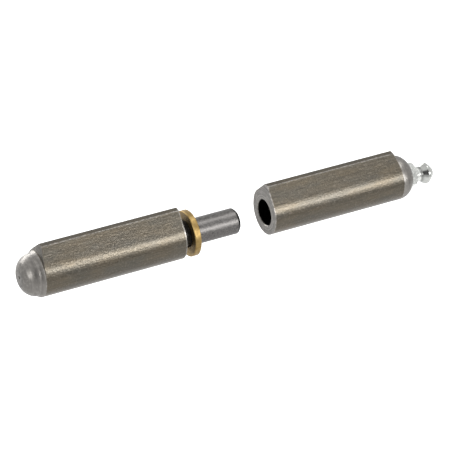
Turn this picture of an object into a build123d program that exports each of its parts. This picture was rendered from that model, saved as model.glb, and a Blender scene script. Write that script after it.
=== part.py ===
"""Weld on barrel hinge with a loose pin half, a brass washer and a greased socket half.

All sizes are in millimetres. X runs along the hinge axis, from the nose of the
pin half towards the grease nipple. Z points out of the two weld edges. The
origin is the centre of the pin half's weld edge, so the hinge axis lies
LIP_HEIGHT below it. The two halves are drawn lifted apart along the axis.
"""

import os
from math import acos, atan2, cos, hypot, radians, sin, sqrt

from build123d import *

# --- Drawn profile shared by both halves ---
BARREL_D = 14.0            # round back of the drawn profile
PROFILE_RISE = 0.5         # short straight side between the back and the crown
LIP_HEIGHT = 9.85          # hinge axis to the flat of the weld edge
LIP_WIDTH = 1.7            # flat of the weld edge
LIP_EDGE_R = 0.15          # drawn edge at each side of the flat
WASTE_R = 14.0             # outside anything the lathe takes off a nose

# --- Pin half ---
PIN_WELD_LENGTH = 44.9     # length that keeps its weld edge
PIN_NOSE_LENGTH = 6.3      # turned nose beyond the weld edge
PIN_NOSE_TIP_D = 3.0       # small flat at the tip
PIN_NOSE_CROWN = (1.2, 4.75)    # depth from the tip and radius on the round crown
PIN_NOSE_SIDE = (4.4, 6.42)     # where the crown meets the slow taper
PIN_NOSE_BACK = (5.6, 7.04)     # where the taper meets the cut up to the weld edge
PIN_NOSE_LEAN = 3.0        # the nose was turned a little askew, degrees
PIP_D = 0.9                # parting pip in the middle of the nose tip
PIP_HEIGHT = 0.15

# --- Hinge pin ---
PIN_D = 8.0
PIN_OUT = 19.9             # length that stands out of the pin half
PIN_IN = 22.0              # length pressed into the pin half
PIN_END_CHAMFER = 0.7
PIN_END_ROUND = 0.3
PIN_INNER_CHAMFER = 0.6
PIN_HOLE_SPARE = 0.8       # straight hole left beyond the pin's inner end
PIN_HOLE_MOUTH = 0.2       # chamfer at the mouth of the press hole

# --- Washer ---
WASHER_D = 14.2
WASHER_HOLE_D = 8.6
WASHER_THICKNESS = 2.0
WASHER_EDGE = 0.2
WASHER_STAND_OFF = 2.85    # gap to the pin half as drawn
WORKING_GAP = 0.1          # grease film on each side of the washer when closed

# --- Socket half ---
LIFT = 27.65               # how far the socket half is lifted off as drawn
SOCKET_WELD_LENGTH = 44.4
SOCKET_NOSE_BACK = 1.3     # from the weld edge's end to where the round back is cut
SOCKET_NOSE_CROWN = (3.1, 6.15)  # depth beyond that and radius on the round crown
SOCKET_NOSE_END = (5.1, 3.3)     # depth and radius where the crown would end
NIPPLE_LEAN = 7.0          # the nipple was screwed in a little askew, degrees
LEAN_CENTRE = 1.2          # where its axis crosses the hinge axis, beyond the weld edge
SEAT_OUT = 4.56            # seat beyond that crossing, along the nipple
BORE_CLEARANCE = 0.075     # radial running clearance on the pin
BORE_DEPTH = 24.0
BORE_MOUTH = 0.25
DRILL_POINT = 118.0        # included angle of the drill points, degrees
GREASE_WAY_D = 3.0
TAPPED_DEPTH = 7.5
TAPPED_MOUTH = 0.3

# --- Grease nipple ---
THREAD_D = 6.0
THREAD_LENGTH = 5.5
THREAD_TIP_CHAMFER = 0.6
HEX_AF = 7.0               # across the flats
HEX_HEIGHT = 2.6
HEX_TURN = 11.0            # how far the hexagon happens to be tightened, degrees
COLLAR_D = 5.4
COLLAR_HEIGHT = 0.7
NECK_D = 4.6
NECK_LENGTH = 2.0
HEAD_D = 6.6
HEAD_BACK = 1.6            # cone behind the head
HEAD_LAND = 0.7            # widest, straight part of the head
HEAD_FRONT = 1.7           # cone in front of the head
TIP_D = 3.8
HEAD_ROUND = 0.3

# --- Check valve in the nipple ---
BALL_D = 2.5
ORIFICE_D = 2.0
ORIFICE_LENGTH = 0.5
BALL_SEAT_GAP = 0.02
CHAMBER_D = 3.1
CRIMP_D = 1.7              # turned in end that keeps the spring
CRIMP_LENGTH = 1.0
SPRING_D = 2.0             # middle of the wire
WIRE_D = 0.3
SPRING_PITCH = 2.0
SPRING_END_GAP = 0.05
BALL_STROKE = 0.8

# --- Places along the hinge axis ---
BARREL_R = BARREL_D / 2
AXIS_Z = -LIP_HEIGHT
PIN_WELD_START = -PIN_WELD_LENGTH / 2
PIN_FACE = PIN_WELD_LENGTH / 2
PIN_NOSE_TIP = PIN_WELD_START - PIN_NOSE_LENGTH
PIN_ROOT = PIN_FACE - PIN_IN
WASHER_X = PIN_FACE + WASHER_STAND_OFF
CLOSED_FACE = PIN_FACE + WASHER_THICKNESS + 2 * WORKING_GAP
SOCKET_FACE = CLOSED_FACE + LIFT
SOCKET_WELD_END = SOCKET_FACE + SOCKET_WELD_LENGTH
SOCKET_BACK_END = SOCKET_WELD_END + SOCKET_NOSE_BACK
LEAN_X = SOCKET_WELD_END + LEAN_CENTRE
SEAT_X = LEAN_X + SEAT_OUT
BORE_R = PIN_D / 2 + BORE_CLEARANCE
BORE_END = SOCKET_FACE + BORE_DEPTH
THREAD_END = SEAT_X - THREAD_LENGTH
TAPPED_END = SEAT_X - TAPPED_DEPTH
HEX_END = SEAT_X + HEX_HEIGHT
COLLAR_END = HEX_END + COLLAR_HEIGHT
NECK_END = COLLAR_END + NECK_LENGTH
LAND_START = NECK_END + HEAD_BACK
LAND_END = LAND_START + HEAD_LAND
NIPPLE_TIP = LAND_END + HEAD_FRONT
ORIFICE_X = NIPPLE_TIP - ORIFICE_LENGTH
BALL_X = ORIFICE_X - sqrt((BALL_D / 2) ** 2 - (ORIFICE_D / 2) ** 2) - BALL_SEAT_GAP
CRIMP_END = THREAD_END + CRIMP_LENGTH
SPRING_START = CRIMP_END + SPRING_END_GAP + WIRE_D / 2
BALL_CONTACT = sqrt((BALL_D / 2 + WIRE_D / 2) ** 2 - (SPRING_D / 2) ** 2)
SPRING_END = BALL_X - BALL_CONTACT - SPRING_END_GAP


def cross_plane(x):
    """Plane square to the hinge axis at x, with its first direction along Y."""
    return Plane(origin=(x, 0, AXIS_Z), x_dir=(0, 1, 0), z_dir=(1, 0, 0))


AXIS_PLANE = Plane(origin=(0, 0, AXIS_Z), x_dir=(1, 0, 0), z_dir=(0, -1, 0))
HINGE_AXIS = Axis((0, 0, AXIS_Z), (1, 0, 0))
NOSE_TILT_AXIS = Axis((PIN_WELD_START, 0, AXIS_Z), (0, 1, 0))
NIPPLE_TILT_AXIS = Axis((LEAN_X, 0, AXIS_Z), (0, 1, 0))


def turned(points, mode=Mode.ADD):
    """Revolve a closed outline of (x, radius) points about the hinge axis."""
    with BuildSketch(AXIS_PLANE) as outline:
        with BuildLine():
            Polyline(*points, close=True)
        make_face()
    return revolve(outline.sketch, axis=HINGE_AXIS, mode=mode)


def drilled(mouth, end, radius, sign=1):
    """Cut a blind hole with a drill point, sign is the way the drill goes."""
    point = radius / sin(radians(DRILL_POINT / 2)) * cos(radians(DRILL_POINT / 2))
    turned(
        [(mouth, 0), (mouth, radius), (end, radius), (end + sign * point, 0)],
        mode=Mode.SUBTRACT,
    )


def mouth_chamfer(mouth, radius, size, sign=1):
    """Cut the small cone at the mouth of a round hole."""
    turned(
        [(mouth, 0), (mouth, radius + size), (mouth + sign * size, radius),
         (mouth + sign * size, 0)],
        mode=Mode.SUBTRACT,
    )


def drawn_profile(x, length):
    """Extrude the drop shaped profile with its weld edge along the hinge axis."""
    half_flat = LIP_WIDTH / 2
    crown = LIP_HEIGHT - PROFILE_RISE
    flank = atan2(crown, half_flat) - acos(BARREL_R / hypot(half_flat, crown))
    touch = (BARREL_R * cos(flank), PROFILE_RISE + BARREL_R * sin(flank))
    between = (
        BARREL_R * cos(flank / 2),
        PROFILE_RISE + BARREL_R * sin(flank / 2),
    )
    with BuildSketch(cross_plane(x)) as outline:
        with BuildLine():
            ThreePointArc((-BARREL_R, 0), (0, -BARREL_R), (BARREL_R, 0))
            Line((BARREL_R, 0), (BARREL_R, PROFILE_RISE))
            ThreePointArc((BARREL_R, PROFILE_RISE), between, touch)
            Line(touch, (half_flat, LIP_HEIGHT))
            Line((half_flat, LIP_HEIGHT), (-half_flat, LIP_HEIGHT))
            Line((-half_flat, LIP_HEIGHT), (-touch[0], touch[1]))
            ThreePointArc((-touch[0], touch[1]), (-between[0], between[1]),
                          (-BARREL_R, PROFILE_RISE))
            Line((-BARREL_R, PROFILE_RISE), (-BARREL_R, 0))
        make_face()
        lip_corners = outline.vertices().group_by(Axis.Y)[-1]
        fillet(lip_corners, LIP_EDGE_R)
    extrude(outline.sketch, amount=length)


# --- Metal the lathe takes off the pin half's end to leave its round nose ---
with BuildPart() as pin_nose_waste:
    with BuildSketch(AXIS_PLANE):
        crown, side, back = (
            (PIN_NOSE_TIP + depth, radius)
            for depth, radius in (PIN_NOSE_CROWN, PIN_NOSE_SIDE, PIN_NOSE_BACK)
        )
        tip = (PIN_NOSE_TIP, PIN_NOSE_TIP_D / 2)
        with BuildLine():
            Polyline((PIN_NOSE_TIP - 2, 0), (PIN_NOSE_TIP - PIP_HEIGHT, 0),
                     (PIN_NOSE_TIP - PIP_HEIGHT, PIP_D / 2), (PIN_NOSE_TIP, PIP_D / 2), tip)
            ThreePointArc(tip, crown, side)
            Polyline(side, back, (PIN_WELD_START, LIP_HEIGHT), (PIN_WELD_START, WASTE_R),
                     (PIN_NOSE_TIP - 2, WASTE_R), (PIN_NOSE_TIP - 2, 0))
        make_face()
    revolve(axis=HINGE_AXIS)
pin_nose_cut = pin_nose_waste.part.rotate(NOSE_TILT_AXIS, PIN_NOSE_LEAN)

# --- Pin half: drawn profile with a turned round nose ---
with BuildPart() as pin_barrel:
    drawn_profile(PIN_NOSE_TIP - 1, PIN_FACE - PIN_NOSE_TIP + 1)
    add(pin_nose_cut, mode=Mode.SUBTRACT)
    drilled(PIN_FACE, PIN_ROOT - PIN_HOLE_SPARE, PIN_D / 2, sign=-1)
    mouth_chamfer(PIN_FACE, PIN_D / 2, PIN_HOLE_MOUTH, sign=-1)

# --- Hinge pin: ground, pressed into the pin half ---
with BuildPart() as hinge_pin:
    with BuildSketch(cross_plane(PIN_ROOT)):
        Circle(PIN_D / 2)
    extrude(amount=PIN_IN + PIN_OUT)
    rim = hinge_pin.edges().filter_by(GeomType.CIRCLE).sort_by(Axis.X)
    chamfer(rim[0], PIN_INNER_CHAMFER)
    chamfer(rim[-1], PIN_END_CHAMFER)
    corner = hinge_pin.edges().filter_by(GeomType.CIRCLE).sort_by(Axis.X)[-2]
    fillet(corner, PIN_END_ROUND)

# --- Brass washer: rides on the pin between the two faces ---
with BuildPart() as brass_washer:
    with BuildSketch(cross_plane(WASHER_X)):
        Circle(WASHER_D / 2)
        Circle(WASHER_HOLE_D / 2, mode=Mode.SUBTRACT)
    extrude(amount=WASHER_THICKNESS)
    chamfer(brass_washer.edges().filter_by(GeomType.CIRCLE), WASHER_EDGE)

# --- Metal the lathe takes off the socket half's end ---
with BuildPart() as socket_nose_waste:
    with BuildSketch(AXIS_PLANE):
        start = (SOCKET_BACK_END, BARREL_R)
        crown, end = (
            (SOCKET_BACK_END + depth, radius)
            for depth, radius in (SOCKET_NOSE_CROWN, SOCKET_NOSE_END)
        )
        with BuildLine():
            Line((SOCKET_WELD_END, LIP_HEIGHT), start)
            ThreePointArc(start, crown, end)
            Polyline(end, (end[0], 0), (end[0] + 2, 0), (end[0] + 2, WASTE_R),
                     (SOCKET_WELD_END, WASTE_R), (SOCKET_WELD_END, LIP_HEIGHT))
        make_face()
    revolve(axis=HINGE_AXIS)

# --- Seat face and tapped hole for the nipple, drilled a little askew ---
with BuildPart() as nipple_hole:
    turned([(SEAT_X, 0), (SEAT_X, WASTE_R / 2), (SEAT_X + 3, WASTE_R / 2), (SEAT_X + 3, 0)])
    point = THREAD_D / 2 / sin(radians(DRILL_POINT / 2)) * cos(radians(DRILL_POINT / 2))
    turned([(TAPPED_END - point, 0), (TAPPED_END, THREAD_D / 2),
            (SEAT_X - TAPPED_MOUTH, THREAD_D / 2),
            (SEAT_X, THREAD_D / 2 + TAPPED_MOUTH), (SEAT_X, 0)])
nipple_cut = nipple_hole.part.rotate(NIPPLE_TILT_AXIS, NIPPLE_LEAN)

# --- Socket half: bored for the pin, nose turned and tapped for the nipple ---
with BuildPart() as socket_barrel:
    drawn_profile(SOCKET_FACE, SOCKET_BACK_END + SOCKET_NOSE_END[0] + 1 - SOCKET_FACE)
    add(socket_nose_waste.part, mode=Mode.SUBTRACT)
    drilled(SOCKET_FACE, BORE_END, BORE_R)
    mouth_chamfer(SOCKET_FACE, BORE_R, BORE_MOUTH)
    turned(
        [(BORE_END, 0), (BORE_END, GREASE_WAY_D / 2), (TAPPED_END, GREASE_WAY_D / 2),
         (TAPPED_END, 0)],
        mode=Mode.SUBTRACT,
    )
    add(nipple_cut, mode=Mode.SUBTRACT)

# --- Hexagon of the nipple, its corners bevelled on both sides ---
with BuildPart() as nipple_hexagon:
    with BuildSketch(cross_plane(SEAT_X)):
        RegularPolygon(HEX_AF / 2, 6, major_radius=False, rotation=HEX_TURN)
    extrude(amount=HEX_HEIGHT)
    corner_r = HEX_AF / sqrt(3)
    bevel = corner_r - HEX_AF / 2
    turned(
        [(SEAT_X, 0), (SEAT_X, HEX_AF / 2), (SEAT_X + bevel / 2, corner_r),
         (HEX_END - bevel / 2, corner_r), (HEX_END, HEX_AF / 2), (HEX_END, 0)],
        mode=Mode.INTERSECT,
    )

# --- Grease nipple: thread shown plain, hexagon, neck and coupling head ---
with BuildPart() as grease_nipple:
    turned([
        (THREAD_END, 0),
        (THREAD_END, THREAD_D / 2 - THREAD_TIP_CHAMFER),
        (THREAD_END + THREAD_TIP_CHAMFER, THREAD_D / 2),
        (SEAT_X, THREAD_D / 2),
        (SEAT_X, 0),
    ])
    turned([
        (SEAT_X, 0),
        (SEAT_X, COLLAR_D / 2),
        (COLLAR_END, COLLAR_D / 2),
        (COLLAR_END + (COLLAR_D - NECK_D) / 2, NECK_D / 2),
        (NECK_END, NECK_D / 2),
        (LAND_START, HEAD_D / 2),
        (LAND_END, HEAD_D / 2),
        (NIPPLE_TIP, TIP_D / 2),
        (NIPPLE_TIP, 0),
    ])
    land = grease_nipple.edges().filter_by(GeomType.CIRCLE).filter_by(
        lambda e: abs(e.radius - HEAD_D / 2) < 1e-6
    )
    fillet(land, HEAD_ROUND)
    add(nipple_hexagon.part)
    turned(
        [(THREAD_END, 0), (THREAD_END, CRIMP_D / 2), (CRIMP_END, CRIMP_D / 2),
         (CRIMP_END, CHAMBER_D / 2), (ORIFICE_X, CHAMBER_D / 2),
         (ORIFICE_X, ORIFICE_D / 2), (NIPPLE_TIP, ORIFICE_D / 2), (NIPPLE_TIP, 0)],
        mode=Mode.SUBTRACT,
    )

# --- Check ball: closes the nipple from inside ---
with BuildPart() as check_ball:
    with Locations((BALL_X, 0, AXIS_Z)):
        Sphere(BALL_D / 2)

# --- Ball spring: light coil between the crimped end and the ball ---
with BuildPart() as ball_spring:
    with BuildLine():
        coil = Helix(
            pitch=SPRING_PITCH,
            height=SPRING_END - SPRING_START,
            radius=SPRING_D / 2,
            center=(SPRING_START, 0, AXIS_Z),
            direction=(1, 0, 0),
        )
    with BuildSketch(Plane(origin=coil @ 0, z_dir=coil % 0)):
        Circle(WIRE_D / 2)
    sweep(path=coil, is_frenet=True)

# --- Write the pieces, those of the nipple turned to its lean ---
STRAIGHT = {
    "pin_barrel": pin_barrel,
    "hinge_pin": hinge_pin,
    "brass_washer": brass_washer,
    "socket_barrel": socket_barrel,
}
LEANING = {
    "grease_nipple": grease_nipple,
    "check_ball": check_ball,
    "ball_spring": ball_spring,
}
solids = {node: piece.part for node, piece in STRAIGHT.items()}
for node, piece in LEANING.items():
    solids[node] = piece.part.rotate(NIPPLE_TILT_AXIS, NIPPLE_LEAN)

os.makedirs("parts", exist_ok=True)
for node, solid in solids.items():
    solid.label = node
    export_step(solid, f"parts/{node}.step")
    size = solid.bounding_box().size
    print(node, len(solid.solids()), "solid", round(solid.volume, 1), "mm3",
          [round(v, 2) for v in (size.X, size.Y, size.Z)])
print("closed face", CLOSED_FACE, "socket face", SOCKET_FACE, "nipple crossing", LEAN_X)
print("seat", SEAT_X, "land", (LAND_START + LAND_END) / 2, "tip", NIPPLE_TIP)
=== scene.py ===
"""Weld on barrel hinge: its finishes, the spring behind its ball, and a plain studio."""

import math

import bpy
from mathutils import Matrix, Vector


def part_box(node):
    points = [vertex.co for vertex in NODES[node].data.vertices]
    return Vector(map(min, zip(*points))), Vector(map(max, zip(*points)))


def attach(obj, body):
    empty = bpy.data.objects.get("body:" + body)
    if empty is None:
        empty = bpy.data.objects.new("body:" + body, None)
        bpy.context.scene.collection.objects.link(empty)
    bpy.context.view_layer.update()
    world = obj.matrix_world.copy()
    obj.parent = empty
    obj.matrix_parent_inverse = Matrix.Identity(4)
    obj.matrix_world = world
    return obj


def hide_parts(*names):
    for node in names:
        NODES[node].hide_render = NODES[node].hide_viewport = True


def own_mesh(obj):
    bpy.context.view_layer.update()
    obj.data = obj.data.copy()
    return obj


bl_info = {
    "name": "Weld On Barrel Hinge",
    "version": (1, 0, 0),
    "blender": (4, 5, 0),
    "location": "View3D > Sidebar > Hinge",
    "description": "Dresses the two halves, the washer and the nipple of a weld on hinge",
    "category": "Object",
}

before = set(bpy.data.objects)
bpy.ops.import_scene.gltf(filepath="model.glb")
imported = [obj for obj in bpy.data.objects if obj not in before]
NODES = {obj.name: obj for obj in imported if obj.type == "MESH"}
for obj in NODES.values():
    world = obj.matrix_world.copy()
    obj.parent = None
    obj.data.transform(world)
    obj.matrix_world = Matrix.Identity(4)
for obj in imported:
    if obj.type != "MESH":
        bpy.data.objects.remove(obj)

MM = 0.001
PIN_LO, PIN_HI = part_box("pin_barrel")
SOCKET_LO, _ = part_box("socket_barrel")
WASHER_LO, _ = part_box("brass_washer")
SHAFT_LO, SHAFT_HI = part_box("hinge_pin")
_, NIPPLE_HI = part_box("grease_nipple")
BARREL_R = (PIN_HI.y - PIN_LO.y) / 2
AXIS_Z = PIN_LO.z + BARREL_R
SHAFT_R = (SHAFT_HI.y - SHAFT_LO.y) / 2
HINGE_MIDDLE = Vector(((PIN_LO.x + NIPPLE_HI.x) / 2, 0, AXIS_Z))
PIN_NOSE = Vector((PIN_LO.x, 0, AXIS_Z))

# Sockets of a Mix node that take and give colours.
MIX_FIRST, MIX_SECOND, MIX_RESULT = 6, 7, 2

WIRE_SIDES = 12
STEPS_PER_TURN = 28

SENSOR_WIDTH = 36.0
WHITE = (1.0, 1.0, 1.0, 1.0)

# Angle from the camera's direction where the dark patch is full, and where it ends.
DARK_CORE, DARK_EDGE = math.radians(10), math.radians(38)


# --- Sizes and colours ------------------------------------------------------

class HingeSteelSettings(bpy.types.PropertyGroup):
    """Finish of the two drawn barrels and the pin."""

    drawn_colour: bpy.props.FloatVectorProperty(
        name="Drawn steel", description="Warm grey of the raw drawn profile",
        default=(0.101, 0.0905, 0.0735), subtype="COLOR", min=0.0, max=1.0)
    turned_colour: bpy.props.FloatVectorProperty(
        name="Turned steel", description="Lighter grey where the lathe has cut",
        default=(0.184, 0.175, 0.163), subtype="COLOR", min=0.0, max=1.0)
    ground_colour: bpy.props.FloatVectorProperty(
        name="Ground pin", description="Grey of the ground pin",
        default=(0.118, 0.113, 0.109), subtype="COLOR", min=0.0, max=1.0)
    # Painted shade: near black paint for the inside of the bore.
    bore_shade_colour: bpy.props.FloatVectorProperty(
        name="Painted bore shade", description="Painted shade inside the bore",
        default=(0.012, 0.013, 0.012), subtype="COLOR", min=0.0, max=1.0)
    grain: bpy.props.FloatProperty(
        name="Grain", description="Size of the matt grain on the drawn steel",
        default=0.35 * MM, min=0.05 * MM, max=2 * MM,
        subtype="DISTANCE", unit="LENGTH", precision=5)
    weld_start: bpy.props.FloatProperty(
        name="Pin weld edge start", description="Where the pin half's weld edge begins",
        default=-22.45 * MM, subtype="DISTANCE", unit="LENGTH", precision=5)
    weld_end: bpy.props.FloatProperty(
        name="Socket weld edge end", description="Where the socket half's weld edge ends",
        default=SOCKET_LO.x + 44.4 * MM, subtype="DISTANCE", unit="LENGTH", precision=5)
    pin_back: bpy.props.FloatProperty(
        name="Pin nose cut", description="From the pin half's weld edge to its cut round back",
        default=0.7 * MM, subtype="DISTANCE", unit="LENGTH", precision=5)
    socket_back: bpy.props.FloatProperty(
        name="Socket nose cut", description="From the socket half's weld edge to its cut back",
        default=1.3 * MM, subtype="DISTANCE", unit="LENGTH", precision=5)
    bore_radius: bpy.props.FloatProperty(
        name="Bore radius", description="Radius of the socket half's bore",
        default=SHAFT_R + 0.075 * MM, subtype="DISTANCE", unit="LENGTH", precision=5)


class HingeBrightSettings(bpy.types.PropertyGroup):
    """Finish of the washer, the nipple and its valve."""

    brass_colour: bpy.props.FloatVectorProperty(
        name="Brass", description="Bare turned brass",
        default=(0.30, 0.212, 0.086), subtype="COLOR", min=0.0, max=1.0)
    zinc_colour: bpy.props.FloatVectorProperty(
        name="Zinc plate", description="Bright plated nipple",
        default=(0.62, 0.63, 0.605), subtype="COLOR", min=0.0, max=1.0)
    ball_colour: bpy.props.FloatVectorProperty(
        name="Bearing steel", description="Check ball",
        default=(0.55, 0.55, 0.55), subtype="COLOR", min=0.0, max=1.0)
    wire_colour: bpy.props.FloatVectorProperty(
        name="Spring wire", description="Wire of the ball's spring",
        default=(0.40, 0.39, 0.38), subtype="COLOR", min=0.0, max=1.0)


class HingeSpringSettings(bpy.types.PropertyGroup):
    """Light coil behind the nipple's check ball."""

    lean: bpy.props.FloatProperty(
        name="Lean", description="Droop of the nipple's axis below the hinge axis",
        default=math.radians(7), subtype="ANGLE", unit="ROTATION")
    start: bpy.props.FloatVectorProperty(
        name="Start", description="Middle of the coil's inner end",
        default=(SOCKET_LO.x + 45.858 * MM, 0.0, AXIS_Z - 0.032 * MM),
        subtype="TRANSLATION", unit="LENGTH", precision=5)
    length: bpy.props.FloatProperty(
        name="Length", description="From the crimped end to the ball, with the ball shut",
        default=11.3 * MM, subtype="DISTANCE", unit="LENGTH", precision=5)
    coil_radius: bpy.props.FloatProperty(
        name="Coil radius", description="Coil's axis to the middle of the wire",
        default=1.0 * MM, subtype="DISTANCE", unit="LENGTH", precision=5)
    wire_radius: bpy.props.FloatProperty(
        name="Wire radius", description="Half the wire's thickness",
        default=0.15 * MM, subtype="DISTANCE", unit="LENGTH", precision=5)
    pitch: bpy.props.FloatProperty(
        name="Pitch", description="Rise of the coil in one turn",
        default=2.0 * MM, subtype="DISTANCE", unit="LENGTH", precision=5)
    stroke: bpy.props.FloatProperty(
        name="Stroke", description="How far the pressed ball shortens the coil",
        default=0.86 * MM, subtype="DISTANCE", unit="LENGTH", precision=5)


class HingeStageSettings(bpy.types.PropertyGroup):
    """Camera, lamps and floor."""

    azimuth: bpy.props.FloatProperty(
        name="Azimuth", description="Camera turn to the nose side, from square on",
        default=math.radians(28.165), subtype="ANGLE", unit="ROTATION")
    elevation: bpy.props.FloatProperty(
        name="Elevation", description="Camera height above the horizon",
        default=math.radians(30.342), subtype="ANGLE", unit="ROTATION")
    roll_over: bpy.props.FloatProperty(
        name="Roll over", description="Turn of the camera about the hinge axis, over the top",
        default=math.radians(4.6), subtype="ANGLE", unit="ROTATION")
    distance: bpy.props.FloatProperty(
        name="Distance", description="Camera to the point it looks at",
        default=707.2 * MM, subtype="DISTANCE", unit="LENGTH")
    aim: bpy.props.FloatVectorProperty(
        name="Aim", description="Point the camera looks at",
        default=(41.08 * MM, 3.66 * MM, -13.38 * MM),
        subtype="TRANSLATION", unit="LENGTH", precision=5)
    lens: bpy.props.FloatProperty(
        name="Lens", description="Focal length in millimetres on a 36 mm sensor",
        default=185.9, min=20.0, max=400.0)
    floor_drop: bpy.props.FloatProperty(
        name="Floor drop", description="How far the floor lies below the hinge axis",
        default=160 * MM, subtype="DISTANCE", unit="LENGTH")
    room_level: bpy.props.FloatProperty(
        name="Room level", description="Strength of the even light from all round",
        default=0.85, min=0.0, max=3.0)
    strip_power: bpy.props.FloatProperty(
        name="Strip lamp", description="Power of the tall lamp at the front right, in watts",
        default=2.2, min=0.0, max=200.0)
    strip_lean: bpy.props.FloatProperty(
        name="Strip lean", description="Lean of the tall lamp's top towards the nose",
        default=math.radians(45), subtype="ANGLE", unit="ROTATION")
    side_power: bpy.props.FloatProperty(
        name="Side lamp", description="Power of the small lamp at the nose side, in watts",
        default=1.2, min=0.0, max=200.0)
    top_power: bpy.props.FloatProperty(
        name="Top lamp", description="Power of the lamp over the nipple side, in watts",
        default=2.0, min=0.0, max=200.0)
    back_power: bpy.props.FloatProperty(
        name="Back lamp", description="Power of the wide lamp low behind the hinge, in watts",
        default=4.0, min=0.0, max=200.0)
    dark_level: bpy.props.FloatProperty(
        name="Dark behind camera", description="Share of the room that reflections keep there",
        default=0.12, min=0.0, max=1.0)


# --- Material building ------------------------------------------------------

def shade(colour, *factors):
    """A colour made darker or lighter, by one factor or by one for each channel."""
    if len(factors) == 1:
        factors *= 3
    return tuple(min(1.0, channel * factor) for channel, factor in zip(colour, factors))


class Graph:
    """Adds and joins the nodes of one node tree."""

    def __init__(self, tree):
        self.tree = tree

    def feed(self, socket, value):
        """Give a socket a fixed value, or the output of another node."""
        if isinstance(value, bpy.types.NodeSocket):
            self.tree.links.new(value, socket)
        else:
            socket.default_value = value

    def add(self, kind, inputs=None, **options):
        """New node of one kind, with its options set before its inputs are fed."""
        node = self.tree.nodes.new("ShaderNode" + kind)
        for name, value in options.items():
            setattr(node, name, value)
        for key, value in (inputs or {}).items():
            self.feed(node.inputs[key], value)
        return node

    def math(self, operation, *terms):
        """Result of one operation on numbers or sockets."""
        return self.add("Math", dict(enumerate(terms)), operation=operation).outputs[0]

    def ramp(self, value, low, high, to_low=0.0, to_high=1.0, smooth=False):
        """Line from one range to another, held at both ends."""
        node = self.add("MapRange",
                        {"Value": value, "From Min": low, "From Max": high,
                         "To Min": to_low, "To Max": to_high},
                        interpolation_type="SMOOTHSTEP" if smooth else "LINEAR")
        return node.outputs[0]


class Finish(Graph):
    """One metal, whose patterns follow the piece's own coordinates."""

    def __init__(self, name, colour):
        self.material = bpy.data.materials.new(name)
        self.material.use_nodes = True
        super().__init__(self.material.node_tree)
        self.shader = self.tree.nodes["Principled BSDF"]
        self.feed(self.shader.inputs["Base Color"], (*colour, 1))
        self.feed(self.shader.inputs["Metallic"], 1.0)
        coords = self.add("TexCoord")
        self.place = coords.outputs["Object"]
        self.normal = coords.outputs["Normal"]

    def split(self, vector):
        """The three numbers of a vector."""
        return self.add("SeparateXYZ", {0: vector}).outputs

    def radius(self):
        """Distance from the hinge axis."""
        _, y, z = self.split(self.place)
        down = self.math("SUBTRACT", z, AXIS_Z)
        return self.math("SQRT", self.math("ADD", self.math("MULTIPLY", y, y),
                                           self.math("MULTIPLY", down, down)))

    def stretched(self, scale, offset=(0, 0, 0)):
        """The piece's coordinates scaled along each axis, and moved."""
        node = self.add("Mapping", {"Scale": scale, "Location": offset, "Vector": self.place})
        return node.outputs[0]

    def noise(self, vector, scale, detail, roughness):
        """Cloudy pattern from 0 to 1."""
        node = self.add("TexNoise", {"Vector": vector, "Scale": scale, "Detail": detail,
                                     "Roughness": roughness})
        return node.outputs["Fac"]

    def circles(self, radius, scale):
        """Noise that changes with the distance from the axis only."""
        node = self.add("TexNoise", {"W": radius, "Scale": scale}, noise_dimensions="1D")
        return node.outputs["Fac"]

    def blend(self, factor, first, second):
        """Mix of two colours, each a tuple or a socket."""
        first, second = (c if isinstance(c, bpy.types.NodeSocket) else (*c, 1)
                         for c in (first, second))
        node = self.add("Mix", {"Factor": factor, MIX_FIRST: first, MIX_SECOND: second},
                        data_type="RGBA")
        return node.outputs[MIX_RESULT]

    def bump(self, height, distance, under=None):
        """Surface normal of a fine relief, laid over another one where it is given."""
        inputs = {"Height": height, "Distance": distance}
        if under is not None:
            inputs["Normal"] = under
        return self.add("Bump", inputs).outputs[0]

    def made(self, roughness, normal, colour=None):
        """The material, once its patterns are fed into its shader."""
        self.feed(self.shader.inputs["Roughness"], roughness)
        self.feed(self.shader.inputs["Normal"], normal)
        if colour is not None:
            self.feed(self.shader.inputs["Base Color"], colour)
        return self.material


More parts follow.
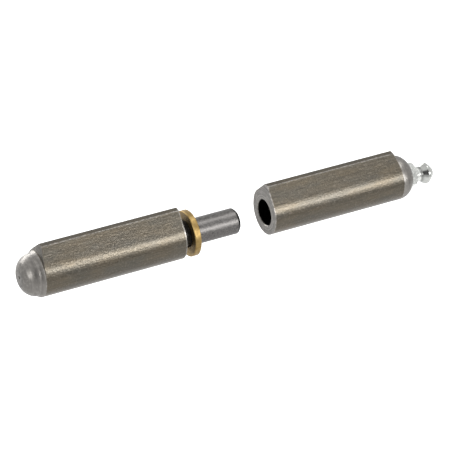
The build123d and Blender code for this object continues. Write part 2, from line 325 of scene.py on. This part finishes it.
def barrel_steel(name, settings, face_x, shoulder_x, back_x, bored):
    """Raw drawn steel that turns into bright lathe work at the face and the nose.

    face_x is the square face, shoulder_x the weld edge's end at the nose, and back_x
    the place where the nose's cut reaches the round back.
    """
    drawn, bright = settings.drawn_colour, settings.turned_colour
    f = Finish(name, drawn)
    grain = 1 / settings.grain
    x, y, z = f.split(f.place)
    along = f.split(f.normal)[0]
    radius = f.radius()
    outward = 1.0 if shoulder_x > face_x else -1.0

    # Where the lathe has been: its cut runs from the weld edge's end out to the
    # round back, and the square faces are turned too.
    reach = (back_x - shoulder_x) * outward
    weld_radius = -AXIS_Z
    cut_start = f.ramp(radius, BARREL_R + 0.02 * MM, weld_radius, reach, 0.0)
    past_shoulder = f.math("MULTIPLY", f.math("SUBTRACT", x, shoulder_x), outward)
    past_cut = f.math("SUBTRACT", past_shoulder, cut_start)
    on_nose = f.ramp(past_cut, -0.06 * MM, 0.06 * MM)
    square = f.ramp(f.math("ABSOLUTE", along), 0.90, 0.98)
    turned = f.math("MAXIMUM", on_nose, square)
    matt = f.math("SUBTRACT", 1.0, turned)

    # Sparkling matt grain, faint lines along the draw, cloudy patches, and the lathe's
    # rings round the nose and circles on the faces.
    coarse = f.noise(f.place, grain * 0.55, 2.0, 0.6)
    fine = f.noise(f.place, grain * 1.3, 1.0, 0.5)
    lines = f.noise(f.stretched((0.06, 1, 1)), grain * 0.8, 2.0, 0.6)
    clouds = f.noise(f.stretched((0.35, 1, 1), (3, 1, 2)), 260.0, 3.0, 0.6)
    rings = f.noise(f.stretched((1, 0.02, 0.02)), grain * 1.4, 2.0, 0.5)
    circles = f.circles(radius, grain * 0.5)
    scuffs = f.noise(f.place, grain * 0.35, 3.0, 0.6)

    # The drawn skin.
    cool, warm = shade(drawn, 0.90, 0.93, 0.97), shade(drawn, 1.10, 1.04, 0.96)
    glint, pit, streak = shade(drawn, 1.7), shade(drawn, 0.5), shade(drawn, 0.6)
    raw = f.blend(f.ramp(clouds, 0.35, 0.65), cool, warm)
    raw = f.blend(f.ramp(coarse, 0.52, 0.68, 0.0, 0.45), raw, glint)
    raw = f.blend(f.ramp(fine, 0.34, 0.46, 0.4, 0.0), raw, pit)
    raw = f.blend(f.ramp(lines, 0.36, 0.50, 0.45, 0.0), raw, streak)

    # The lathe's cuts.
    groove, ridge = shade(bright, 0.88), shade(bright, 1.12)
    # The last colour is for the thin edges below: a painted highlight together with rubbed
    # wear.
    dull_circle, scuffed, rubbed_and_glint = shade(bright, 0.58), shade(bright, 1.45), shade(bright, 1.5)
    cut = f.blend(f.ramp(rings, 0.35, 0.65), groove, ridge)
    cut = f.blend(f.math("MULTIPLY", f.ramp(circles, 0.40, 0.60, 1.0, 0.0), square),
                  cut, dull_circle)
    cut = f.blend(f.ramp(scuffs, 0.50, 0.66, 0.0, 0.5), cut, scuffed)
    colour = f.blend(turned, raw, cut)

    # Thin bright edges at the two ends and along the weld edge: a painted highlight together
    # with rubbed wear, broken here and there.
    near_cut = f.ramp(f.math("ABSOLUTE", past_cut), 0.05 * MM, 0.22 * MM, 1.0, 0.0)
    near_face = f.ramp(f.math("ABSOLUTE", f.math("SUBTRACT", x, face_x)),
                       0.10 * MM, 0.45 * MM, 1.0, 0.0)
    weld_side = f.ramp(f.math("ABSOLUTE", y), 0.62 * MM, 0.80 * MM)
    weld_top = f.ramp(z, -0.30 * MM, -0.08 * MM)
    weld_edge = f.math("MULTIPLY", f.math("MULTIPLY", weld_side, weld_top), 0.6)
    edge = f.math("MAXIMUM", f.math("MAXIMUM", near_cut, near_face), weld_edge)
    edge = f.math("MULTIPLY", edge, f.ramp(scuffs, 0.40, 0.58, 0.25, 1.0))
    edge = f.math("MULTIPLY", edge, f.math("SUBTRACT", 1.0, square))
    colour = f.blend(edge, colour, rubbed_and_glint)

    # Painted shade: the bore's inside is painted near black.
    if bored:
        inside = f.ramp(radius, settings.bore_radius + 0.02 * MM,
                        settings.bore_radius + 0.16 * MM, 1.0, 0.0)
        colour = f.blend(inside, colour, settings.bore_shade_colour)

    raw_rough = f.ramp(fine, 0.3, 0.7, 0.29, 0.37)
    cut_rough = 0.40
    rough = f.math("ADD", f.math("MULTIPLY", raw_rough, matt),
                   f.math("MULTIPLY", turned, cut_rough))
    skin = f.math("MULTIPLY", f.math("ADD", coarse, f.math("MULTIPLY", fine, 0.5)), matt)
    normal = f.bump(skin, 0.055 * MM)
    normal = f.bump(f.math("MULTIPLY", lines, matt), 0.02 * MM, under=normal)
    normal = f.bump(f.math("MULTIPLY", rings, turned), 0.05 * MM, under=normal)
    normal = f.bump(f.math("MULTIPLY", circles, square), 0.02 * MM, under=normal)
    return f.made(rough, normal, colour)


def ground_steel(settings):
    """Ground pin with fine rings, scuffs, and painted shade on its tip's chamfer and in the
    gap by the washer.
    """
    ground = settings.ground_colour
    f = Finish("Ground steel", ground)
    rings = f.noise(f.stretched((1, 0.03, 0.03)), 3200.0, 2.0, 0.6)
    scuffs = f.noise(f.place, 1800.0, 3.0, 0.6)
    x = f.split(f.place)[0]
    # Painted shade: the tip's chamfer and the pin just before the washer are painted dark.
    tip_shade = f.ramp(x, SHAFT_HI.x - 1.15 * MM, SHAFT_HI.x - 0.85 * MM)
    washer_gap_shade = f.ramp(x, WASHER_LO.x - 0.4 * MM, WASHER_LO.x, 1.0, 0.0)
    colour = f.blend(f.ramp(scuffs, 0.38, 0.62), shade(ground, 0.72), shade(ground, 1.22))
    colour = f.blend(f.math("MAXIMUM", tip_shade, washer_gap_shade), colour, shade(ground, 0.30))
    rough = f.ramp(scuffs, 0.3, 0.7, 0.34, 0.48)
    normal = f.bump(rings, 0.012 * MM)
    normal = f.bump(scuffs, 0.02 * MM, under=normal)
    return f.made(rough, normal, colour)


def turned_brass(settings):
    """Brass with the lathe's circles, and browner where it has tarnished."""
    brass = settings.brass_colour
    f = Finish("Turned brass", brass)
    circles = f.circles(f.radius(), 6000.0)
    tarnish = f.noise(f.place, 700.0, 4.0, 0.6)
    colour = f.blend(f.ramp(tarnish, 0.35, 0.7), shade(brass, 0.72, 0.68, 0.62), brass)
    rough = f.ramp(tarnish, 0.3, 0.7, 0.52, 0.38)
    normal = f.bump(circles, 0.015 * MM)
    normal = f.bump(tarnish, 0.03 * MM, under=normal)
    return f.made(rough, normal, colour)


def zinc_plate(settings):
    """Bright plate, with a painted dark reflection on the head and a painted shadow in the
    neck's corner.
    """
    zinc = settings.zinc_colour
    f = Finish("Zinc plate", zinc)
    haze = f.noise(f.place, 1500.0, 3.0, 0.6)
    colour = f.blend(f.ramp(haze, 0.38, 0.62), shade(zinc, 0.80), shade(zinc, 1.12))
    x = f.split(f.place)[0]
    neck_x = NIPPLE_HI.x - 4.4 * MM
    # Painted reflection: the head is painted darker.
    painted_head_reflection = f.ramp(x, neck_x - 0.5 * MM, neck_x + 0.2 * MM)
    colour = f.blend(f.math("MULTIPLY", painted_head_reflection, 0.7), colour, shade(zinc, 0.62))
    # Painted shadow: the neck's corner is painted near black.
    from_neck = f.math("ABSOLUTE", f.math("SUBTRACT", x, neck_x))
    neck_shadow = f.ramp(from_neck, 0.1 * MM, 0.7 * MM, 0.75, 0.0)
    colour = f.blend(neck_shadow, colour, shade(zinc, 0.25))
    rough = f.ramp(haze, 0.3, 0.7, 0.08, 0.20)
    return f.made(rough, f.bump(haze, 0.02 * MM), colour)


def plain_metal(name, colour, roughness):
    """Bare metal with a faint haze, for the small inner pieces."""
    f = Finish(name, colour)
    haze = f.noise(f.place, 2500.0, 2.0, 0.5)
    rough = f.ramp(haze, 0.3, 0.7, roughness * 0.8, roughness * 1.2)
    return f.made(rough, f.bump(haze, 0.006 * MM))


def floor_paint():
    """Pale matt floor that reaches plain white to the eye and keeps a soft shadow."""
    material = bpy.data.materials.new("Pale floor")
    material.use_nodes = True
    floor = Graph(material.node_tree)
    paint = floor.tree.nodes["Principled BSDF"]
    floor.feed(paint.inputs["Base Color"], (0.85, 0.85, 0.85, 1))
    floor.feed(paint.inputs["Roughness"], 0.9)
    floor.feed(paint.inputs["Specular IOR Level"], 0.0)
    unlit = floor.add("Emission", {"Strength": 0.0})
    glow = floor.add("Emission", {"Color": WHITE, "Strength": 0.5})
    path = floor.add("LightPath")
    seen = floor.add("MixShader", {0: path.outputs["Is Camera Ray"], 1: unlit.outputs[0],
                                   2: glow.outputs[0]})
    both = floor.add("AddShader", {0: paint.outputs[0], 1: seen.outputs[0]})
    floor.feed(floor.tree.nodes["Material Output"].inputs["Surface"], both.outputs[0])
    return material


def even_room(level, dark, toward):
    """White for the eye, an even level all round, and a darker patch behind the camera."""
    world = bpy.data.worlds.new("Even room")
    world.use_nodes = True
    room = Graph(world.node_tree)
    path = room.add("LightPath")
    shown = room.math("MAXIMUM", path.outputs["Is Camera Ray"], path.outputs["Is Glossy Ray"])
    shown = room.math("MAXIMUM", shown, path.outputs["Is Transmission Ray"])
    strength = room.ramp(shown, 0.0, 1.0, level, 1.0)

    # The eye meets plain white in the patch too, so only reflections show it.
    coords = room.add("TexCoord")
    facing = room.add("VectorMath", {0: coords.outputs["Generated"], 1: toward},
                      operation="DOT_PRODUCT")
    patch = room.ramp(facing.outputs["Value"], math.cos(DARK_EDGE), math.cos(DARK_CORE),
                      1.0, dark, smooth=True)
    patch = room.math("MAXIMUM", patch, path.outputs["Is Camera Ray"])
    air = room.tree.nodes["Background"]
    room.feed(air.inputs["Color"], WHITE)
    room.feed(air.inputs["Strength"], room.math("MULTIPLY", strength, patch))
    return world


def soft_lamp(name, aim, offset, width, height, power):
    """Soft rectangular lamp with its long side upright, facing a point."""
    data = bpy.data.lights.new(name, "AREA")
    data.shape = "RECTANGLE"
    data.size = width
    data.size_y = height
    data.energy = power
    lamp = bpy.data.objects.new(name, data)
    bpy.context.scene.collection.objects.link(lamp)
    lamp.location = aim + Vector(offset)
    lamp.rotation_euler = (aim - lamp.location).to_track_quat("-Z", "Y").to_euler()
    return lamp


def dress(node, material):
    """Give a CAD node its material."""
    mesh = NODES[node].data
    mesh.materials.clear()
    mesh.materials.append(material)


# --- Operators --------------------------------------------------------------

class HINGE_OT_pin_half(bpy.types.Operator):
    """Dress the pin half: the drawn barrel and its pressed pin"""

    bl_idname = "hinge.pin_half"
    bl_label = "Pin Half"

    def execute(self, context):
        steel = context.scene.hinge_steel
        dress("pin_barrel", barrel_steel("Drawn steel, pin half", steel, PIN_HI.x,
                                         steel.weld_start, steel.weld_start - steel.pin_back,
                                         bored=False))
        dress("hinge_pin", ground_steel(steel))
        return {"FINISHED"}


class HINGE_OT_washer(bpy.types.Operator):
    """Dress the brass washer"""

    bl_idname = "hinge.washer"
    bl_label = "Brass Washer"

    def execute(self, context):
        dress("brass_washer", turned_brass(context.scene.hinge_bright))
        return {"FINISHED"}


class HINGE_OT_socket_half(bpy.types.Operator):
    """Dress the bored socket half"""

    bl_idname = "hinge.socket_half"
    bl_label = "Socket Half"

    def execute(self, context):
        steel = context.scene.hinge_steel
        dress("socket_barrel", barrel_steel("Drawn steel, socket half", steel, SOCKET_LO.x,
                                            steel.weld_end, steel.weld_end + steel.socket_back,
                                            bored=True))
        return {"FINISHED"}


class HINGE_OT_nipple(bpy.types.Operator):
    """Dress the grease nipple and its check valve"""

    bl_idname = "hinge.nipple"
    bl_label = "Grease Nipple"

    def execute(self, context):
        bright = context.scene.hinge_bright
        dress("grease_nipple", zinc_plate(bright))
        dress("check_ball", plain_metal("Bearing steel", bright.ball_colour, 0.12))
        return {"FINISHED"}


class HINGE_OT_ball_spring(bpy.types.Operator):
    """Wind the ball's spring, which turns with the socket half"""

    bl_idname = "hinge.ball_spring"
    bl_label = "Ball Spring"

    def execute(self, context):
        size = context.scene.hinge_spring
        turn = Matrix.Rotation(math.pi / 2 + size.lean, 4, "Y")

        # Round wire beside the coil's axis, wound up along Z.
        bpy.ops.object.select_all(action="DESELECT")
        bpy.ops.mesh.primitive_circle_add(vertices=WIRE_SIDES, radius=size.wire_radius)
        coil = context.object
        coil.name = "ball_spring_coil"
        bpy.ops.object.mode_set(mode="EDIT")
        bpy.ops.mesh.select_all(action="SELECT")
        bpy.ops.transform.rotate(value=math.pi / 2, orient_axis="X", orient_type="GLOBAL",
                                 center_override=(0, 0, 0))
        bpy.ops.transform.translate(value=(size.coil_radius, 0, 0))
        bpy.ops.object.mode_set(mode="OBJECT")
        turns = size.length / size.pitch
        screw = coil.modifiers.new("wind", "SCREW")
        screw.axis = "Z"
        screw.angle = 2 * math.pi * turns
        screw.screw_offset = size.length
        screw.steps = screw.render_steps = round(STEPS_PER_TURN * turns)
        bpy.ops.object.modifier_apply(modifier=screw.name)

        # Close both ends and turn the coil onto the nipple's axis.
        bpy.ops.object.mode_set(mode="EDIT")
        bpy.ops.mesh.select_all(action="SELECT")
        bpy.ops.mesh.fill_holes(sides=0)
        bpy.ops.mesh.normals_make_consistent(inside=False)
        bpy.ops.object.mode_set(mode="OBJECT")
        coil.matrix_world = Matrix.Translation(size.start) @ turn
        bpy.ops.object.transform_apply(location=True, rotation=True, scale=True)
        bpy.ops.object.shade_smooth()
        wire = context.scene.hinge_bright.wire_colour
        coil.data.materials.append(plain_metal("Spring wire", wire, 0.30))

        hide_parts("ball_spring")
        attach(coil, "socket_half")
        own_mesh(coil)
        return {"FINISHED"}


class HINGE_OT_stage(bpy.types.Operator):
    """Set up the floor, the soft lamps, the even room light and the camera"""

    bl_idname = "hinge.stage"
    bl_label = "Stage"

    def execute(self, context):
        stage = context.scene.hinge_stage
        scene = context.scene

        bpy.ops.object.select_all(action="DESELECT")
        bpy.ops.mesh.primitive_plane_add(size=8.0, location=(0, 0, AXIS_Z - stage.floor_drop))
        floor = context.object
        floor.name = "floor"
        floor.data.materials.append(floor_paint())

        # Each lamp's offset from the point it faces, its width and its height.
        strip = soft_lamp("strip lamp", HINGE_MIDDLE, (0.23, -0.49, 0.235), 0.14, 0.34,
                          stage.strip_power)
        strip.rotation_euler.rotate_axis("Z", stage.strip_lean)
        soft_lamp("side lamp", PIN_NOSE, (-0.52, -0.21, 0.21), 0.26, 0.26, stage.side_power)
        soft_lamp("top lamp", HINGE_MIDDLE, (0.38, 0.08, 0.72), 0.30, 0.30, stage.top_power)
        soft_lamp("back lamp", HINGE_MIDDLE, (-0.15, 0.75, 0.16), 0.70, 0.25,
                  stage.back_power)

        data = bpy.data.cameras.new("camera")
        data.lens = stage.lens
        data.sensor_width = SENSOR_WIDTH
        data.clip_start = 10 * MM
        camera = bpy.data.objects.new("camera", data)
        scene.collection.objects.link(camera)
        turn, rise = stage.azimuth, stage.elevation
        look = Vector((math.sin(turn) * math.cos(rise), math.cos(turn) * math.cos(rise),
                       -math.sin(rise)))
        axis = Matrix.Translation((0, 0, AXIS_Z))
        over = axis @ Matrix.Rotation(-stage.roll_over, 4, "X") @ axis.inverted()
        place = over @ (Vector(stage.aim) - look * stage.distance)
        facing = over.to_3x3() @ look.to_track_quat("-Z", "Y").to_matrix()
        camera.matrix_world = Matrix.Translation(place) @ facing.to_4x4()
        scene.camera = camera

        toward_camera = (place - HINGE_MIDDLE).normalized()
        scene.world = even_room(stage.room_level, stage.dark_level, toward_camera)
        scene.view_settings.view_transform = "Standard"
        return {"FINISHED"}


class HINGE_PT_panel(bpy.types.Panel):
    """Lists the hinge's operators and settings in the sidebar"""

    bl_idname = "HINGE_PT_panel"
    bl_label = "Weld On Hinge"
    bl_space_type = "VIEW_3D"
    bl_region_type = "UI"
    bl_category = "Hinge"

    def draw(self, context):
        layout = self.layout
        for operator in OPERATORS:
            layout.operator(operator.bl_idname)
        for group in (getattr(context.scene, key) for key in GROUPS):
            column = layout.column()
            for name in group.__annotations__:
                column.prop(group, name)


GROUPS = {
    "hinge_steel": HingeSteelSettings,
    "hinge_bright": HingeBrightSettings,
    "hinge_spring": HingeSpringSettings,
    "hinge_stage": HingeStageSettings,
}
OPERATORS = (HINGE_OT_pin_half, HINGE_OT_washer, HINGE_OT_socket_half, HINGE_OT_nipple,
             HINGE_OT_ball_spring, HINGE_OT_stage)
CLASSES = (*GROUPS.values(), *OPERATORS, HINGE_PT_panel)


def register():
    """Add the classes and their settings to Blender."""
    for cls in CLASSES:
        bpy.utils.register_class(cls)
    for name, group in GROUPS.items():
        setattr(bpy.types.Scene, name, bpy.props.PointerProperty(type=group))


def unregister():
    """Take the settings and the classes away again."""
    for name in GROUPS:
        delattr(bpy.types.Scene, name)
    for cls in reversed(CLASSES):
        bpy.utils.unregister_class(cls)


def main():
    """Build everything in order."""
    register()
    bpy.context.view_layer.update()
    bpy.ops.hinge.pin_half()
    bpy.ops.hinge.washer()
    bpy.ops.hinge.socket_half()
    bpy.ops.hinge.nipple()
    bpy.ops.hinge.ball_spring()
    bpy.ops.hinge.stage()


if __name__ == "__main__":
    main()
